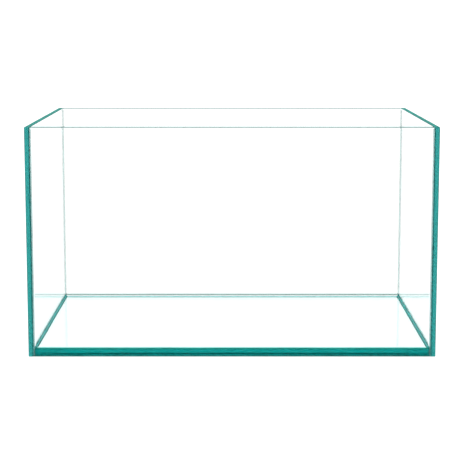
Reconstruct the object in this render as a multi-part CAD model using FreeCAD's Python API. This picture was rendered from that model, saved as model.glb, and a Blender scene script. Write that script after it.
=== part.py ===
"""Rimless glass aquarium tank: five polished float-glass panes bonded with clear silicone.

Frame: millimetres, +Z up, origin at the centre of the base pane's underside.
+X runs along the long side and the front pane faces -Y.

The four walls reach down to the stand and wrap around the base pane. The left and right
panes run the full depth, and the front and back panes are held between them. Every joint
holds two separate pieces of silicone: a thin structural bond between the glass, and a
tooled sealing bead in the inner corner.
"""

import FreeCAD, Part
import os

# Driving dimensions
LENGTH = 600.0          # outside, along X
DEPTH = 350.0           # outside, along Y
HEIGHT = 340.0          # outside, along Z
WALL = 8.0              # thickness of the four wall panes
BASE = 10.0             # thickness of the base pane
GAP = 0.6               # thickness of the silicone bond between two panes
ARRIS = 0.5             # 45 degree arris ground along every edge of a pane
BASE_BEAD_LEG = 4.0     # how far a floor bead reaches along each pane
CORNER_BEAD_LEG = 2.2   # the same for the slimmer upright beads
BEAD_WAIST = 0.34       # how far the middle of a bead's hollow face stands out, in legs
BEAD_BELOW_RIM = 3.0    # how far below the rim the upright beads stop

# Places that follow from them
HALF_LENGTH = LENGTH / 2
HALF_DEPTH = DEPTH / 2
INNER_X = HALF_LENGTH - WALL            # inner face of the left and right panes
INNER_Y = HALF_DEPTH - WALL             # inner face of the front and back panes
HELD_X = INNER_X - GAP                  # front, back and base panes end one bond short of it
HELD_Y = INNER_Y - GAP                  # and so does the base pane here

# Which way each wall and each corner lies from the centre, in X and Y
WALLS = {"front": (0, -1), "back": (0, 1), "left": (-1, 0), "right": (1, 0)}
CORNERS = {
    "front_left": (-1, -1),
    "front_right": (1, -1),
    "back_left": (-1, 1),
    "back_right": (1, 1),
}

OUT = "parts"
ORIGIN = FreeCAD.Vector(0, 0, 0)
X = FreeCAD.Vector(1, 0, 0)
Y = FreeCAD.Vector(0, 1, 0)
Z = FreeCAD.Vector(0, 0, 1)


def block(corner, opposite):
    """A box between two opposite corners, given in any order."""
    low = FreeCAD.Vector(*map(min, corner, opposite))
    high = FreeCAD.Vector(*map(max, corner, opposite))
    size = high - low
    return Part.makeBox(size.x, size.y, size.z, low)


def slab(across, along, thickness):
    """A sheet of glass lying on Z = 0, centred in plan on the origin, with dubbed corners."""
    sheet = block((-across / 2, -along / 2, 0), (across / 2, along / 2, thickness))
    corners = [edge for edge in sheet.Edges if edge.BoundBox.ZLength > thickness / 2]
    return sheet.makeChamfer(ARRIS, corners)


def pane(across, along, thickness):
    """A slab with an arris ground around both of its faces."""
    sheet = slab(across, along, thickness)
    around_faces = [edge for edge in sheet.Edges if edge.BoundBox.ZLength < thickness / 2]
    return sheet.makeChamfer(ARRIS, around_faces)


def stood(sheet, axis, place):
    """A lying pane turned a quarter turn about an axis, then moved to its place."""
    sheet.rotate(ORIGIN, axis, 90)
    sheet.translate(FreeCAD.Vector(*place))
    return sheet


def wall_pane(side_x, side_y):
    """A wall: full depth at the sides, one bond short of both of them at the front and back."""
    if side_y:
        face = HALF_DEPTH if side_y > 0 else -INNER_Y
        return stood(pane(2 * HELD_X, HEIGHT, WALL), X, (0, face, HEIGHT / 2))
    face = INNER_X if side_x > 0 else -HALF_LENGTH
    return stood(pane(HEIGHT, DEPTH, WALL), Y, (face, 0, HEIGHT / 2))


def corner_bond(side_x, side_y, glass):
    """Upright silicone between a side pane and the end of a long pane, trimmed flush."""
    outer = (side_x * (INNER_X + ARRIS), side_y * HALF_DEPTH, ARRIS)
    inner = (side_x * (HELD_X - ARRIS), side_y * INNER_Y, HEIGHT - ARRIS)
    return block(outer, inner).cut(glass)


def base_bond(side_x, side_y, pieces):
    """Silicone between the base pane's edge and a wall, flush with the floor."""
    if side_y:
        outer = (-INNER_X, side_y * INNER_Y, ARRIS)
        inner = (INNER_X, side_y * (HELD_Y - ARRIS), BASE)
    else:
        outer = (side_x * INNER_X, -HELD_Y, ARRIS)
        inner = (side_x * (HELD_X - ARRIS), HELD_Y, BASE)
    return block(outer, inner).cut(pieces)


def bead_section(leg):
    """A bead's section: its corner on the origin, its legs along X and Y, its face hollow."""
    foot = FreeCAD.Vector(leg, 0, 0)
    head = FreeCAD.Vector(0, leg, 0)
    waist = (foot + head) * BEAD_WAIST
    face = Part.Arc(foot, waist, head).toShape()
    return Part.Face(Part.Wire([Part.makeLine(ORIGIN, foot), face, Part.makeLine(head, ORIGIN)]))


def bead(leg, corner, first_leg, second_leg, run):
    """A straight bead: where its section's corner and two legs lie, and the way it runs."""
    first = FreeCAD.Vector(*first_leg)
    second = FreeCAD.Vector(*second_leg)
    section = bead_section(leg)
    turn = FreeCAD.Rotation(first, second, first.cross(second), "ZXY")
    section.Placement = FreeCAD.Placement(FreeCAD.Vector(*corner), turn)
    return section.extrude(FreeCAD.Vector(*run))


def mitre_wedge(side_x, side_y):
    """The share of the floor's rim that one base bead owns: a prism with 45 degree ends."""
    width = 2 * BASE_BEAD_LEG
    if side_x:
        long_side = [(side_x * INNER_X, -INNER_Y), (side_x * INNER_X, INNER_Y)]
    else:
        long_side = [(INNER_X, side_y * INNER_Y), (-INNER_X, side_y * INNER_Y)]
    short_side = [(x * (1 - width / INNER_X), y * (1 - width / INNER_Y)) for x, y in long_side]
    outline = [FreeCAD.Vector(x, y, BASE) for x, y in long_side + short_side[::-1]]
    return Part.Face(Part.makePolygon([*outline, outline[0]])).extrude(Z * width)


def base_bead(side_x, side_y):
    """Bead along one side of the floor, mitred where it meets its neighbours."""
    if side_x:
        corner = (side_x * INNER_X, -INNER_Y, BASE)
        straight = bead(BASE_BEAD_LEG, corner, (-side_x, 0, 0), (0, 0, 1), (0, 2 * INNER_Y, 0))
    else:
        corner = (-INNER_X, side_y * INNER_Y, BASE)
        straight = bead(BASE_BEAD_LEG, corner, (0, -side_y, 0), (0, 0, 1), (2 * INNER_X, 0, 0))
    return straight.common(mitre_wedge(side_x, side_y))


def corner_bead(side_x, side_y, base_beads):
    """Upright bead in one corner, from the floor's beads to just below the rim."""
    corner = (side_x * INNER_X, side_y * INNER_Y, BASE)
    run = (0, 0, HEIGHT - BEAD_BELOW_RIM - BASE)
    upright = bead(CORNER_BEAD_LEG, corner, (-side_x, 0, 0), (0, -side_y, 0), run)
    return upright.cut(base_beads)


def build():
    """Every node of the tank, by name."""
    nodes = {"base_pane": pane(2 * HELD_X, 2 * HELD_Y, BASE)}
    for name, side in WALLS.items():
        nodes[f"{name}_pane"] = wall_pane(*side)
    glass = list(nodes.values())

    bonds = []
    for name, side in WALLS.items():
        bonds.append(base_bond(*side, glass + bonds))
        nodes[f"base_bond_{name}"] = bonds[-1]

    base_beads = [base_bead(*side) for side in WALLS.values()]
    for name, strip in zip(WALLS, base_beads):
        nodes[f"base_bead_{name}"] = strip

    for name, side in CORNERS.items():
        nodes[f"corner_bond_{name}"] = corner_bond(*side, glass)
        nodes[f"corner_bead_{name}"] = corner_bead(*side, base_beads)
    return nodes


def export(name, shape):
    """Write one node as a STEP file, after checking that it is one valid solid."""
    if len(shape.Solids) != 1 or not shape.Solids[0].isValid():
        raise ValueError(f"{name} has {len(shape.Solids)} solids")
    shape.Solids[0].exportStep(os.path.join(OUT, f"{name}.step"))
    print(f"{name}: {shape.Volume / 1000:.2f} cm3")


os.makedirs("parts", exist_ok=True)
for node_name, node_shape in build().items():
    export(node_name, node_shape)
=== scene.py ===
"""Rimless glass aquarium tank in a white studio.

Every piece stands where the engineering model puts it, in metres: +Z up, +X along the long
side, and the front pane facing -Y. The five panes and the eight sealing beads are modelled
here in full; the thin bonds keep the engineering model's own shape and get their finish here.
"""

import logging
import math
from dataclasses import dataclass
from enum import Enum
from typing import Any, Callable, Mapping

import bmesh
import bpy
from mathutils import Matrix, Vector, noise


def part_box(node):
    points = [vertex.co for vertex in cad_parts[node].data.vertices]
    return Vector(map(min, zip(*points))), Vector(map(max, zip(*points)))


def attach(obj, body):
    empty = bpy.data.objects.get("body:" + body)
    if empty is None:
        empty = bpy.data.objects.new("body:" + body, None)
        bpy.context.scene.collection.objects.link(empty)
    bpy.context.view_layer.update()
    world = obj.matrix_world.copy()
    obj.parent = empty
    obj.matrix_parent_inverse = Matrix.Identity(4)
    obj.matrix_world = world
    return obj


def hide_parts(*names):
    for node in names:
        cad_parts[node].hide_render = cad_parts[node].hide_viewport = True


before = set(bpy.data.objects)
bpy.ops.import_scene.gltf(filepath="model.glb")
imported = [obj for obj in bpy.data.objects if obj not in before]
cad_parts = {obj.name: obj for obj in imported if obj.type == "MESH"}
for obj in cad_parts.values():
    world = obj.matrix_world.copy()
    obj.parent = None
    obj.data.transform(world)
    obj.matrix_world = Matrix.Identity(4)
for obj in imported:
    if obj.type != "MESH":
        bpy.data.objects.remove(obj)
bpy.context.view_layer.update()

log = logging.getLogger("tank")

BODY = "root"
MM = 0.001

EDGE_MARK = "ground_edge"
ARRIS_MARK = "ground_arris"
# The lip mark holds how much painted shade each face of a bead's lips takes.
LIP_SHADE_MARK = "bead_lip"

WHITE = (1.0, 1.0, 1.0)

# Detail of the noise behind fine changes and behind slow ones.
FINE_DETAIL = 3.0
SLOW_DETAIL = 2.0

# A length under TINY counts as none, and cuts are made to within CUT_MARGIN.
TINY = 0.001 * MM
CUT_MARGIN = 0.0001 * MM

# How closely a direction follows an axis to count as mostly, or as fully, along it.
MOSTLY = 0.9
FLAT = 0.99

# Faces that meet at less than this angle are shaded as one smooth surface.
SMOOTH_BELOW = math.radians(30)


# --------------------------------------------------------------------------- shader maths


class Signal:
    """A shader socket that reads like a number: arithmetic on it adds Math nodes."""

    def __init__(self, graph: "Graph", socket: bpy.types.NodeSocket) -> None:
        """Wrap one output socket.

        Args:
            graph: The graph that new nodes go to.
            socket: The output socket to wrap.
        """
        self.graph = graph
        self.socket = socket

    def _maths(self, operation: str, first: Any, second: Any) -> "Signal":
        """Add one Math node.

        Args:
            operation: The node's operation, such as "ADD".
            first: The first operand, a number or a Signal.
            second: The second operand, a number or a Signal.

        Returns:
            The node's result.
        """
        made = self.graph.node("ShaderNodeMath", {"operation": operation}, {0: first, 1: second})
        return Signal(self.graph, made.outputs[0])

    def __add__(self, other: Any) -> "Signal":
        """This plus the other."""
        return self._maths("ADD", self, other)

    def __radd__(self, other: Any) -> "Signal":
        """The other plus this."""
        return self._maths("ADD", other, self)

    def __mul__(self, other: Any) -> "Signal":
        """This times the other."""
        return self._maths("MULTIPLY", self, other)

    def __rmul__(self, other: Any) -> "Signal":
        """The other times this."""
        return self._maths("MULTIPLY", other, self)


class Graph:
    """The node tree of one material or world, filled through a single method."""

    def __init__(self, owner: bpy.types.Material | bpy.types.World) -> None:
        """Start from an empty tree.

        Args:
            owner: The material or world that the tree belongs to.
        """
        owner.use_nodes = True
        self.owner = owner
        self.tree = owner.node_tree
        self.tree.nodes.clear()

    def node(
        self,
        kind: str,
        settings: Mapping[str, Any] | None = None,
        inputs: Mapping[str | int, Any] | None = None,
    ) -> bpy.types.Node:
        """Add one node: its settings are set first, then its sockets are filled.

        Args:
            kind: The node's type.
            settings: The node's own properties.
            inputs: Values, Signals or sockets, by input name or number.

        Returns:
            The new node.
        """
        made = self.tree.nodes.new(kind)
        for name, value in (settings or {}).items():
            setattr(made, name, value)
        for name, value in (inputs or {}).items():
            self._fill(made.inputs[name], value)
        return made

    def signal(self, kind: str, output: str | int, *args: Any) -> Signal:
        """Add one node and wrap one of its outputs.

        Args:
            kind: The node's type.
            output: The output's name or number.
            *args: The node's settings and inputs.

        Returns:
            The wrapped output.
        """
        return Signal(self, self.node(kind, *args).outputs[output])

    def mix(self, factor: Any, first: Any, second: Any) -> Signal:
        """Mix two colours.

        Args:
            factor: 0 gives the first colour, 1 the second.
            first: The first colour.
            second: The second colour.

        Returns:
            The mixed colour.
        """
        made = self.node("ShaderNodeMix", {"data_type": "RGBA"}, {0: factor, 6: first, 7: second})
        return Signal(self, made.outputs[2])

    def output(self, surface: bpy.types.Node, volume: bpy.types.Node | None = None) -> None:
        """Send a surface, and a volume if there is one, to the owner's output.

        Args:
            surface: The shader node of the surface.
            volume: The shader node of the volume.
        """
        inputs = {"Surface": surface.outputs[0]}
        if volume:
            inputs["Volume"] = volume.outputs[0]
        in_world = isinstance(self.owner, bpy.types.World)
        self.node("ShaderNodeOutputWorld" if in_world else "ShaderNodeOutputMaterial", None, inputs)

    def _fill(self, socket: bpy.types.NodeSocket, value: Any) -> None:
        """Link a Signal or a socket to an input, or set a plain value on it.

        Args:
            socket: The input to fill.
            value: A Signal, a socket or a plain value.
        """
        source = value.socket if isinstance(value, Signal) else value
        if isinstance(source, bpy.types.NodeSocket):
            self.tree.links.new(source, socket)
        elif socket.type == "RGBA":
            socket.default_value = (*source, 1.0)
        else:
            socket.default_value = source


# --------------------------------------------------------------------------- finishes


class Axis(Enum):
    """A direction of the frame."""

    X = 0
    Y = 1
    Z = 2


@dataclass(frozen=True)
class GlassFinish:
    """Float glass: clear through its faces, teal along its ground and polished edges, and darkened along
    its arrises as painted shade.

    Attributes:
        name: The material's name.
        edge_tint: Colour of the polished edges.
        arris_shade: Painted shade on the fine-ground arrises between edges and faces.
        absorbed: Colour of the light that a long way through the glass leaves.
        depth: Density of the absorption.
        mirror: How much of bare glass's mirroring is left at a square view.
        ior: Refractive index.
        polish: Roughness of the polished edges.
        grind: Roughness of the arrises.
        streaks: Polishing streaks per metre across an edge, and along it.
        shades: Slow changes of tone per metre of edge.
        shade_share: How far the slow changes deepen the edge's tint.
        streak_share: How far the streaks deepen the edge's tint.
        deepening: Power that turns the edge's tint into its deeper one.
        relief: Strength of the streaks' relief.
        relief_height: Height of the streaks' relief.
    """

    name: str
    edge_tint: tuple[float, float, float] = (0.55, 0.88, 0.88)
    arris_shade: tuple[float, float, float] = (0.06, 0.09, 0.09)
    absorbed: tuple[float, float, float] = (0.0075, 0.589, 0.569)
    depth: float = 8.0
    mirror: float = 0.04
    ior: float = 1.52
    polish: float = 0.02
    grind: float = 0.12
    streaks: tuple[float, float] = (1400.0, 18.0)
    shades: float = 14.0
    shade_share: float = 0.6
    streak_share: float = 0.25
    deepening: float = 1.6
    relief: float = 0.15
    relief_height: float = 0.02 * MM

    def material(self, thin: Axis) -> bpy.types.Material:
        """Build the material.

        Args:
            thin: The axis that the sheet lies across, which the streaks run square to.

        Returns:
            The material.
        """
        graph = Graph(bpy.data.materials.new(self.name))
        edge = graph.signal("ShaderNodeAttribute", "Fac", {"attribute_name": EDGE_MARK})
        arris = graph.signal("ShaderNodeAttribute", "Fac", {"attribute_name": ARRIS_MARK})
        streak = self._streaks(graph, thin)
        shade = self._shades(graph)
        deepened = shade * self.shade_share + streak * self.streak_share
        edge_colour = graph.mix(deepened, self.edge_tint, self._deeper())
        colour = graph.mix(edge, WHITE, edge_colour)
        bump = graph.node(
            "ShaderNodeBump",
            None,
            {"Strength": self.relief, "Distance": self.relief_height, "Height": streak * edge},
        )
        shader = graph.node(
            "ShaderNodeBsdfPrincipled",
            None,
            {
                # Painted shade: the arrises are darkened to stand in for the dark lines that refraction
                # draws along glass edges.
                "Base Color": graph.mix(arris, colour, self.arris_shade),
                "Roughness": edge * (streak * self.polish + self.polish) + arris * self.grind,
                "IOR": self.ior,
                "Transmission Weight": 1.0,
                "Specular Tint": (self.mirror,) * 3,
                "Normal": bump.outputs[0],
            },
        )
        volume = graph.node(
            "ShaderNodeVolumeAbsorption", None, {"Color": self.absorbed, "Density": self.depth}
        )
        graph.output(shader, volume)
        return graph.owner

    def _deeper(self) -> tuple[float, float, float]:
        """The edge's tint where the polish is less bright."""
        return tuple(channel**self.deepening for channel in self.edge_tint)

    def _streaks(self, graph: Graph, thin: Axis) -> Signal:
        """Fine lines that the polishing wheel leaves along every edge.

        Args:
            graph: The graph that the nodes go to.
            thin: The axis that the sheet lies across.

        Returns:
            The streaks, from 0 to 1.
        """
        across, along = self.streaks
        scale = [along] * 3
        scale[thin.value] = across
        place = graph.signal("ShaderNodeTexCoord", "Object")
        laid = graph.signal("ShaderNodeMapping", 0, None, {"Vector": place, "Scale": scale})
        inputs = {"Vector": laid, "Scale": 1.0, "Detail": FINE_DETAIL}
        return graph.signal("ShaderNodeTexNoise", "Fac", None, inputs)

    def _shades(self, graph: Graph) -> Signal:
        """Slow changes in how bright an edge is.

        Args:
            graph: The graph that the nodes go to.

        Returns:
            The changes, from 0 to 1.
        """
        place = graph.signal("ShaderNodeTexCoord", "Object")
        inputs = {"Vector": place, "Scale": self.shades, "Detail": SLOW_DETAIL}
        return graph.signal("ShaderNodeTexNoise", "Fac", None, inputs)


@dataclass(frozen=True)
class SiliconeFinish:
    """Cured silicone, clear or partly cloudy, and teal through its depth, with painted shade on its
    lips.

    Attributes:
        name: The material's name.
        tint: Colour of the surface.
        lip_shade: Painted shade along the thin lips, where the bead meets the glass.
        absorbed: Colour of the light that a long way through the silicone leaves.
        depth: Density of the absorption.
        clear: How much of the silicone is clear; the rest is cloudy.
        mirror: How much of bare silicone's mirroring is left at a square view.
        roughness: Roughness of the skin.
        ior: Refractive index.
        skin: Changes of the skin's gloss per metre.
        evenness: Share of the roughness that every part of the skin has.
    """

    name: str
    tint: tuple[float, float, float] = (0.96, 0.99, 0.985)
    lip_shade: tuple[float, float, float] = (0.04, 0.30, 0.26)
    absorbed: tuple[float, float, float] = (0.0, 0.68, 0.63)
    depth: float = 60.0
    clear: float = 1.0
    mirror: float = 0.0
    roughness: float = 0.03
    ior: float = 1.41
    skin: float = 420.0
    evenness: float = 0.5

    def material(self) -> bpy.types.Material:
        """Build the material.

        Returns:
            The material.
        """
        graph = Graph(bpy.data.materials.new(self.name))
        lip = graph.signal("ShaderNodeAttribute", "Fac", {"attribute_name": LIP_SHADE_MARK})
        place = graph.signal("ShaderNodeTexCoord", "Object")
        inputs = {"Vector": place, "Scale": self.skin, "Detail": FINE_DETAIL}
        skin = graph.signal("ShaderNodeTexNoise", "Fac", None, inputs)
        shader = graph.node(
            "ShaderNodeBsdfPrincipled",
            None,
            {
                # Painted shade: the lips are darkened, as far as the lip mark says, for the darkness
                # that refraction in the hollow face gives.
                "Base Color": graph.mix(lip, self.tint, self.lip_shade),
                "Roughness": skin * self.roughness + self.roughness * self.evenness,
                "IOR": self.ior,
                "Transmission Weight": self.clear,
                "Specular IOR Level": 0.0,
                "Specular Tint": (self.mirror,) * 3,
            },
        )
        volume = graph.node(
            "ShaderNodeVolumeAbsorption", None, {"Color": self.absorbed, "Density": self.depth}
        )
        graph.output(shader, volume)
        return graph.owner


# --------------------------------------------------------------------------- mesh helpers


def finished(name: str, shape: bmesh.types.BMesh, material: bpy.types.Material) -> bpy.types.Object:
    """Turn a bmesh into an object at the origin that rides on the tank.

    Args:
        name: The piece's name.
        shape: The finished bmesh, which is freed.
        material: The piece's material.

    Returns:
        The new object.
    """
    bmesh.ops.recalc_face_normals(shape, faces=shape.faces)
    mesh = bpy.data.meshes.new(name)
    shape.to_mesh(mesh)
    shape.free()
    mesh.materials.append(material)
    piece = bpy.data.objects.new(name, mesh)
    bpy.context.scene.collection.objects.link(piece)
    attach(piece, BODY)
    return piece


def _upright(edge: bmesh.types.BMEdge) -> bool:
    """Whether an edge stands upright."""
    first, second = edge.verts
    return abs(first.co.z - second.co.z) > MOSTLY * edge.calc_length()


# --------------------------------------------------------------------------- glass


@dataclass
class Pane:
    """One sheet of float glass, its free corners dubbed and its free edges ground to an arris.

    Attributes:
        node: The engineering model's pane that this one stands for.
        thin: The axis that the sheet lies across.
        finish: The glass.
        held: Whether both ends are bonded to the side panes, and so are left square.
        arris: Width of the slanted face ground along each sharp edge.
        dub: How far the sheet's corners are rounded.
        dub_steps: Flats around each rounded corner.
        lap: How far the glass laps into the silicone that it touches, which wets it.
    """

    node: str
    thin: Axis
    finish: GlassFinish
    held: bool = False
    arris: float = 0.6 * MM
    dub: float = 0.5 * MM
    dub_steps: int = 3
    lap: float = 0.02 * MM

    def build(self) -> bpy.types.Object:
        """Model the pane and dress it.

        Returns:
            The pane's object.
        """
        low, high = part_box(self.node)
        shape = bmesh.new()
        bmesh.ops.create_cube(shape, size=1.0)
        size = high - low + Vector.Fill(3, 2 * self.lap)
        bmesh.ops.scale(shape, vec=size, verts=shape.verts)
        bmesh.ops.translate(shape, vec=(low + high) / 2, verts=shape.verts)
        if not self.held:
            self._dub_corners(shape)
        self._grind_arrises(shape)
        self._mark_edges(shape)
        piece = finished(self.node.replace("_pane", "_glass"), shape, self.finish.material(self.thin))
        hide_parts(self.node)
        return piece

    def _dub_corners(self, shape: bmesh.types.BMesh) -> None:
        """Round the sheet's four corners.

        Args:
            shape: The bmesh that is changed.
        """
        axis = self.thin.value
        short = [e for e in shape.edges if abs((e.verts[0].co - e.verts[1].co)[axis]) > TINY]
        bmesh.ops.bevel(
            shape, geom=short, offset=self.dub, segments=self.dub_steps, affect="EDGES",
            profile=0.5, material=-1,
        )

    def _grind_arrises(self, shape: bmesh.types.BMesh) -> None:
        """Take the sharp edge off around both faces of the sheet, but not along bonded ends.

        Args:
            shape: The bmesh that is changed.
        """
        axis = self.thin.value
        big = [face for face in shape.faces if abs(face.normal[axis]) > MOSTLY]
        ground = [
            edge
            for edge in shape.edges
            if any(face in big for face in edge.link_faces) and not (self.held and _upright(edge))
        ]
        bmesh.ops.bevel(
            shape, geom=ground, offset=self.arris, segments=1, affect="EDGES",
            profile=0.5, material=-1, offset_type="OFFSET",
        )

    def _mark_edges(self, shape: bmesh.types.BMesh) -> None:
        """Mark every face that a grinding wheel has touched, and the arrises among them.

        Args:
            shape: The bmesh that is changed.
        """
        edge = shape.faces.layers.float.new(EDGE_MARK)
        arris = shape.faces.layers.float.new(ARRIS_MARK)
        shape.normal_update()
        for face in shape.faces:
            slant = abs(face.normal[self.thin.value])
            face[edge] = 0.0 if slant > FLAT else 1.0
            face[arris] = 1.0 if 1.0 - FLAT < slant < FLAT else 0.0


# --------------------------------------------------------------------------- silicone


@dataclass
class Bead:
    """A sealing bead of silicone in an inner corner, its face tooled hollow.

    The bead is modelled along +X with its corner on the axis and its legs along +Y and +Z,
    and then turned into its place.

    Attributes:
        name: The piece's name.
        node: The engineering model's bead that this one stands for.
        leg: How far it reaches along each pane.
        length: The full length of the run.
        place: Where the run starts and which way it and its legs point.
        finish: The silicone.
        mitred: Whether both ends are cut at 45 degrees.
        waist: How far the middle of the hollow lies from each leg, as a share of the leg.
        lip: How far each lip's painted shade reaches, as a share of the leg.
        wall_lip_shade: How much painted shade the lip on the wall takes.
        floor_lip_shade: How much painted shade the lip on the floor takes.
        arc_steps: Flats around the hollow face.
        step: Distance between divisions along the run.
        unevenness: How far the bead swells and thins at most, as a share of its section.
        ripple: Distance over which it swells and thins.
        seed_step: Distance in the noise between one bead's row and the next.
        arc_margin: How far off a leg a face has to be to lie on the hollow, as a share of the leg.
    """

    name: str
    node: str
    leg: float
    length: float
    place: Matrix
    finish: SiliconeFinish
    mitred: bool = False
    waist: float = 0.34
    lip: float = 0.20
    wall_lip_shade: float = 1.0
    floor_lip_shade: float = 0.6
    arc_steps: int = 8
    step: float = 6.0 * MM
    unevenness: float = 0.05
    ripple: float = 45.0 * MM
    seed_step: float = 1.7
    arc_margin: float = 0.001

    def build(self) -> bpy.types.Object:
        """Model the bead and dress it.

        Returns:
            The bead's object.
        """
        shape = bmesh.new()
        section = self._section(shape)
        self._run(shape, section)
        self._mark_lip_shade(shape)
        self._tool(shape)
        if self.mitred:
            self._mitre(shape)
        bmesh.ops.transform(shape, matrix=self.place, verts=shape.verts)
        piece = finished(self.name, shape, self.finish.material())
        for polygon in piece.data.polygons:
            polygon.use_smooth = True
        piece.data.set_sharp_from_angle(angle=SMOOTH_BELOW)
        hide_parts(self.node)
        return piece

    def _section(self, shape: bmesh.types.BMesh) -> bmesh.types.BMFace:
        """Draw the bead's section: two straight legs and a hollow arc between their ends.

        Args:
            shape: The bmesh that is changed.

        Returns:
            The section's face.
        """
        centre = self.leg * (1 - 2 * self.waist**2) / (2 - 4 * self.waist)
        foot_angle = math.atan2(-centre, self.leg - centre)
        head_angle = math.atan2(self.leg - centre, -centre)
        sweep = (foot_angle - head_angle) % math.tau
        foot = shape.verts.new((0.0, self.leg, 0.0))
        spun = bmesh.ops.spin(
            shape, geom=[foot], cent=(0, centre, centre), axis=(-1, 0, 0), angle=sweep,
            steps=self.arc_steps,
        )
        head = next(item for item in spun["geom_last"] if isinstance(item, bmesh.types.BMVert))
        corner = shape.verts.new((0.0, 0.0, 0.0))
        shape.edges.new((head, corner))
        shape.edges.new((corner, foot))
        made = bmesh.ops.contextual_create(shape, geom=list(shape.edges))
        return made["faces"][0]

    def _run(self, shape: bmesh.types.BMesh, section: bmesh.types.BMFace) -> None:
        """Extrude the section to its full length and divide it along the way.

        Args:
            shape: The bmesh that is changed.
            section: The section's face.
        """
        pushed = bmesh.ops.extrude_face_region(shape, geom=[section])
        moved = [item for item in pushed["geom"] if isinstance(item, bmesh.types.BMVert)]
        bmesh.ops.translate(shape, vec=(self.length, 0, 0), verts=moved)
        along = [e for e in shape.edges if abs((e.verts[0].co - e.verts[1].co).x) > self.length / 2]
        bmesh.ops.subdivide_edges(shape, edges=along, cuts=int(self.length / self.step))

    def _mark_lip_shade(self, shape: bmesh.types.BMesh) -> None:
        """Mark how much painted shade the thin lips on both sides of the hollow face take.

        Args:
            shape: The bmesh that is changed.
        """
        mark = shape.faces.layers.float.new(LIP_SHADE_MARK)
        for face in shape.faces:
            middle = face.calc_center_median() / self.leg
            on_arc = min(middle.y, middle.z) > self.arc_margin
            if on_arc and middle.y < self.lip:
                face[mark] = self.wall_lip_shade
            elif on_arc and middle.z < self.lip:
                face[mark] = self.floor_lip_shade

    def _tool(self, shape: bmesh.types.BMesh) -> None:
        """Let the bead swell and thin a little along its run, as a fingertip leaves it.

        Args:
            shape: The bmesh that is changed.
        """
        seed = sum(map(ord, self.name))
        for vert in shape.verts:
            ripple = noise.noise(Vector((vert.co.x / self.ripple, seed * self.seed_step, 0.0)))
            swell = 1.0 + self.unevenness * ripple
            vert.co.y *= swell
            vert.co.z *= swell

    def _mitre(self, shape: bmesh.types.BMesh) -> None:
        """Cut both ends at 45 degrees, so that neighbouring beads meet on the diagonal.

        Args:
            shape: The bmesh that is changed.
        """
        for start, normal in ((0.0, (-1, 1, 0)), (self.length, (1, 1, 0))):
            everything = [*shape.verts, *shape.edges, *shape.faces]
            cut = bmesh.ops.bisect_plane(
                shape, geom=everything, dist=CUT_MARGIN, plane_co=(start, 0, 0), plane_no=normal,
                clear_outer=True,
            )
            edges = [item for item in cut["geom_cut"] if isinstance(item, bmesh.types.BMEdge)]
            bmesh.ops.contextual_create(shape, geom=edges)


# --------------------------------------------------------------------------- the tank


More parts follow.
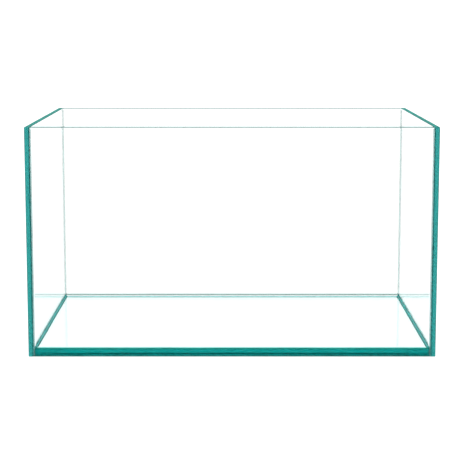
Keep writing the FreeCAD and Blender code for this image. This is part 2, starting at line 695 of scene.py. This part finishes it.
@dataclass
class Tank:
    """The whole tank: five panes, the bonds between them and the beads that seal them.

    Attributes:
        wall_glass: The four walls' glass.
        base_glass: The base's glass.
        bond_silicone: The structural bonds.
        front_shaded_silicone: The floor bead along the front pane, darkened through its depth as painted
            shade.
        back_shaded_silicone: The floor bead along the back pane, dimmed as painted shade.
        side_shaded_silicone: The floor beads along the side panes, cloudy teal as painted shade.
        front_upright_silicone: The upright beads in the front corners.
        back_upright_shaded_silicone: The upright beads in the back corners, dimmed as painted shade.
        long_arris: Width of the arrises on the front and back panes.
        base_leg: How far the floor beads reach along each pane.
        corner_leg: How far the upright beads reach along each pane.
        sink: How far a bead laps into the glass, which wets it.
        film: How far the side floor beads stand off the glass.
        faint_lip_shade: How much painted shade the back floor bead's lip on the floor takes.
    """

    wall_glass: GlassFinish = GlassFinish("wall glass")
    # The base's arrises carry a lighter painted shade than the walls'.
    base_glass: GlassFinish = GlassFinish(
        "base glass", edge_tint=(0.30, 0.88, 0.88), arris_shade=(0.25, 0.65, 0.65),
        absorbed=(0.01, 0.706, 0.691), depth=12.4,
    )
    bond_silicone: SiliconeFinish = SiliconeFinish("bond silicone", depth=8.0, roughness=0.0)
    # One silicone throughout: the copies below differ by place only as painted shade. The front floor
    # bead absorbs twenty times deeper than plain silicone, so it darkens like the base's band.
    front_shaded_silicone: SiliconeFinish = SiliconeFinish("front bead shaded silicone", depth=1200.0)
    # Painted shade: the back floor bead is dimmed, darker through its depth and darker on its lip.
    back_shaded_silicone: SiliconeFinish = SiliconeFinish(
        "back bead shaded silicone", tint=(0.86, 0.80, 0.80), lip_shade=(0.05, 0.13, 0.11),
        absorbed=(0.0, 0.35, 0.30), depth=40.0,
    )
    # Painted shade: the side floor beads are made cloudy and teal to stand in for light guided through
    # the base glass.
    side_shaded_silicone: SiliconeFinish = SiliconeFinish(
        "side bead shaded silicone", tint=(0.12, 0.92, 0.89), lip_shade=(0.0, 0.38, 0.34), clear=0.5,
        roughness=0.25,
    )
    front_upright_silicone: SiliconeFinish = SiliconeFinish(
        "front upright silicone", tint=WHITE, lip_shade=WHITE, depth=2.0
    )
    # Painted shade: the back upright beads are dimmed.
    back_upright_shaded_silicone: SiliconeFinish = SiliconeFinish(
        "back upright shaded silicone", tint=(0.84, 0.74, 0.73), lip_shade=(0.84, 0.74, 0.73), depth=12.0
    )
    long_arris: float = 0.8 * MM
    base_leg: float = 4.0 * MM
    corner_leg: float = 2.2 * MM
    sink: float = 0.01 * MM
    film: float = 0.04 * MM
    faint_lip_shade: float = 0.35

    def build(self) -> list[bpy.types.Object]:
        """Build every piece of the tank.

        Returns:
            The new objects.
        """
        return [*self.panes(), *self.base_beads(), *self.corner_beads(), *self.bonds()]

    def panes(self) -> list[bpy.types.Object]:
        """The five sheets of glass.

        Returns:
            The panes' objects.
        """
        thin = {"base": Axis.Z, "front": Axis.Y, "back": Axis.Y, "left": Axis.X, "right": Axis.X}
        made = []
        for where, axis in thin.items():
            glass = self.base_glass if where == "base" else self.wall_glass
            held = axis is Axis.Y
            arris = self.long_arris if held else Pane.arris
            made.append(Pane(f"{where}_pane", axis, glass, held, arris).build())
        return made

    def bonds(self) -> list[bpy.types.Object]:
        """The bonds keep their own shape and get the silicone's finish.

        Returns:
            The bonds' objects.
        """
        material = self.bond_silicone.material()
        made = []
        for name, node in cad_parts.items():
            if "_bond_" in name:
                for slot in node.material_slots:
                    slot.material = material
                made.append(node)
        return made

    def base_beads(self) -> list[bpy.types.Object]:
        """The four beads around the floor.

        Returns:
            The beads' objects.
        """
        inner_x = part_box("left_pane")[1].x
        inner_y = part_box("front_pane")[1].y
        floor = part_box("base_pane")[1].z
        runs = {
            "front": ((inner_x, inner_y), (1, 0), (0, 1)),
            "back": ((-inner_x, -inner_y), (-1, 0), (0, -1)),
            "left": ((inner_x, -inner_y), (0, -1), (1, 0)),
            "right": ((-inner_x, inner_y), (0, 1), (-1, 0)),
        }
        finishes = {"front": self.front_shaded_silicone, "back": self.back_shaded_silicone}
        # Painted shade on the lips: none on the front floor bead's wall side, faint on the back one's
        # floor side.
        wall_lip_shades = {"front": 0.0}
        floor_lip_shades = {"back": self.faint_lip_shade}
        made = []
        for where, (start, along, inwards) in runs.items():
            length = 2 * abs(Vector(start).dot(Vector(along)))
            off_glass = self.film if where in ("left", "right") else -self.sink
            corner = Vector((*start, floor)) + Vector((*inwards, 1)) * off_glass
            place = placed(corner, Vector((*along, 0)), Vector((*inwards, 0)))
            made.append(
                Bead(
                    f"floor_bead_{where}", f"base_bead_{where}", self.base_leg, length, place,
                    finishes.get(where, self.side_shaded_silicone), mitred=True,
                    wall_lip_shade=wall_lip_shades.get(where, 1.0), floor_lip_shade=floor_lip_shades.get(where, 1.0),
                ).build()
            )
        return made

    def corner_beads(self) -> list[bpy.types.Object]:
        """The four upright beads.

        Returns:
            The beads' objects.
        """
        made = []
        finishes = {"front": self.front_upright_silicone, "back": self.back_upright_shaded_silicone}
        for depth, finish in finishes.items():
            for side in ("left", "right"):
                node = f"corner_bead_{depth}_{side}"
                low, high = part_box(node)
                across = 1 if side == "left" else -1
                inwards = 1 if depth == "front" else -1
                start = Vector(
                    (
                        low.x - self.sink if across > 0 else high.x + self.sink,
                        low.y - self.sink if inwards > 0 else high.y + self.sink,
                        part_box("base_pane")[1].z + self.base_leg,
                    )
                )
                place = placed(start, Vector((0, 0, 1)), Vector((across, 0, 0)), Vector((0, inwards, 0)))
                made.append(
                    Bead(
                        f"upright_bead_{depth}_{side}", node, self.corner_leg, high.z - start.z,
                        place, finish,
                    ).build()
                )
        return made


def placed(
    start: Vector, along: Vector, first: Vector, second: Vector = Vector((0, 0, 1))
) -> Matrix:
    """The matrix that stands a run in its place.

    Args:
        start: Where the run's corner line starts.
        along: The way the run goes.
        first: The way its first leg points.
        second: The way its second leg points.

    Returns:
        A matrix from the run's own axes to the frame.
    """
    turn = Matrix((along, first, second)).transposed().to_4x4()
    return Matrix.Translation(start) @ turn


# --------------------------------------------------------------------------- the studio


@dataclass
class Studio:
    """White floor, white surroundings and the camera.

    The glass stands against brightness: what shows through it is white, and what it mirrors is
    a dim room that is paler overhead.

    Attributes:
        radius: Radius of the floor and, a little wider, of the backdrop.
        backdrop_share: Radius of the backdrop as a share of the floor's.
        flats: Flats around the floor and the backdrop.
        floor_drop: How far the floor lies under the tank.
        distance: How far the camera stands in front of the tank's centre.
        height: Height of the camera.
        pitch: How far the camera looks down, in degrees.
        lens: Focal length in millimetres.
        shift: Shift of the lens sideways and upwards, as a share of the frame.
        sight: How far the camera sees, in radii of the floor.
        exposure: Exposure in stops.
        horizon: Colour of the room at eye level and below.
        above: Colour of the room overhead.
        rise: Heights between which the room turns paler, from -1 straight down to 1 straight up.
        bounces: Bounces that light makes in glass before it is dropped.
        clear_bounces: Fully transparent surfaces that light passes before it is dropped.
    """

    radius: float = 25.0
    backdrop_share: float = 1.01
    flats: int = 96
    floor_drop: float = 0.6 * MM
    distance: float = 1.8840
    height: float = 0.5041
    pitch: float = 6.889
    lens: float = 93.25
    shift: tuple[float, float] = (-0.0044, -0.16)
    sight: float = 4.0
    exposure: float = 0.40
    horizon: tuple[float, float, float] = (0.10, 0.40, 0.35)
    above: tuple[float, float, float] = (0.5, 0.5, 0.5)
    rise: tuple[float, float] = (0.5, 0.95)
    bounces: int = 40
    clear_bounces: int = 16

    def build(self) -> None:
        """Set the floor, the backdrop, the room and the camera."""
        paper = self._glowing_paper()
        self._staged("floor", self._disc, paper)
        self._staged("backdrop", self._dome, paper)
        self._room()
        self._camera()
        scene = bpy.context.scene
        scene.view_settings.view_transform = "Standard"
        scene.view_settings.exposure = self.exposure
        scene.cycles.max_bounces = self.bounces
        scene.cycles.transmission_bounces = self.bounces
        scene.cycles.glossy_bounces = self.bounces
        scene.cycles.transparent_max_bounces = self.clear_bounces

    def _disc(self, shape: bmesh.types.BMesh) -> None:
        """A wide floor just under the tank."""
        bmesh.ops.create_circle(shape, cap_ends=True, radius=self.radius, segments=self.flats)
        bmesh.ops.translate(shape, vec=(0, 0, -self.floor_drop), verts=shape.verts)

    def _dome(self, shape: bmesh.types.BMesh) -> None:
        """A dome all round, its faces turned inwards.

        Args:
            shape: The bmesh that is changed.
        """
        radius = self.radius * self.backdrop_share
        bmesh.ops.create_uvsphere(
            shape, u_segments=self.flats, v_segments=self.flats // 2, radius=radius
        )
        bmesh.ops.reverse_faces(shape, faces=shape.faces)

    def _staged(
        self, name: str, draw: Callable[[bmesh.types.BMesh], None], material: bpy.types.Material
    ) -> None:
        """Make one piece of the stage, which shows through glass but isn't mirrored by it.

        Args:
            name: The piece's name.
            draw: What fills its bmesh.
            material: Its material.
        """
        shape = bmesh.new()
        draw(shape)
        mesh = bpy.data.meshes.new(name)
        shape.to_mesh(mesh)
        shape.free()
        mesh.materials.append(material)
        piece = bpy.data.objects.new(name, mesh)
        piece.visible_glossy = False
        bpy.context.scene.collection.objects.link(piece)

    @staticmethod
    def _glowing_paper() -> bpy.types.Material:
        """Evenly lit white paper.

        Returns:
            The paper's material.
        """
        graph = Graph(bpy.data.materials.new("white paper"))
        graph.output(graph.node("ShaderNodeEmission", None, {"Color": WHITE, "Strength": 1.0}))
        return graph.owner

    def _room(self) -> None:
        """The dim room that the glass mirrors, brighter overhead."""
        world = bpy.data.worlds.new("studio room")
        graph = Graph(world)
        place = graph.signal("ShaderNodeTexCoord", "Generated")
        up = graph.signal("ShaderNodeSeparateXYZ", "Z", None, {0: place})
        low, high = self.rise
        inputs = {"Value": up, "From Min": low, "From Max": high}
        paler = graph.signal(
            "ShaderNodeMapRange", "Result", {"interpolation_type": "SMOOTHSTEP"}, inputs
        )
        tint = graph.mix(paler, self.horizon, self.above)
        graph.output(graph.node("ShaderNodeBackground", None, {"Color": tint}))
        bpy.context.scene.world = world

    def _camera(self) -> None:
        """The camera stands in front of the tank and looks slightly down."""
        data = bpy.data.cameras.new("camera")
        data.lens = self.lens
        data.shift_x, data.shift_y = self.shift
        data.clip_end = self.sight * self.radius
        camera = bpy.data.objects.new("camera", data)
        camera.location = (0.0, -self.distance, self.height)
        camera.rotation_euler = (math.radians(90 - self.pitch), 0.0, 0.0)
        bpy.context.scene.collection.objects.link(camera)
        bpy.context.scene.camera = camera


def main() -> None:
    """Build the tank and the studio, and report each piece."""
    logging.basicConfig(level=logging.INFO, format="%(name)s: %(message)s")
    for piece in Tank().build():
        log.info("%s: %d faces", piece.name, len(piece.data.polygons))
    Studio().build()


if __name__ == "__main__":
    main()
